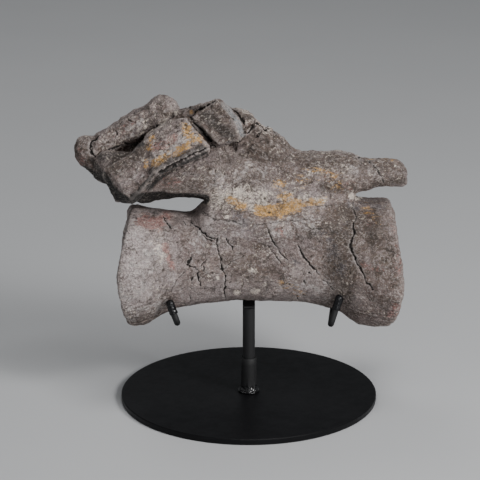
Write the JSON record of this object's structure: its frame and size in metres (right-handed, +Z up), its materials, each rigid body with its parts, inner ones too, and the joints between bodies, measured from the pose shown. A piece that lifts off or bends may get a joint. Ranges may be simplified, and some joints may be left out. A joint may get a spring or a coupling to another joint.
{
  "type": "fossil tail vertebra on display stand",
  "caption": "Petrified spool-shaped tail vertebra with a broken neural arch, resting in the padded cradle of a black steel museum stand with a round base plate.",
  "frame": {"origin": "centre of the underside of the round base plate", "axes": "+Z up, +X along the centrum towards the rear process, -Y towards the viewer of the picture"},
  "size_m": [0.3204, 0.25, 0.3062],
  "materials": {
    "fossil_bone": "weathered petrified bone, grey-brown with ochre, white and rust stains",
    "black_paint": "satin black powder coat",
    "prong_sleeve": "glossy black shrink tubing"
  },
  "bodies": {
    "root": {"vertebra": "fossil_bone", "base_disc": "black_paint", "base_socket": "black_paint", "post": "black_paint", "saddle": "black_paint", "crossbar": "black_paint", "left_yoke": "black_paint", "right_yoke": "black_paint", "left_front_sleeve": "prong_sleeve", "left_rear_sleeve": "prong_sleeve", "right_front_sleeve": "prong_sleeve", "right_rear_sleeve": "prong_sleeve"}
  },
  "joints": []
}
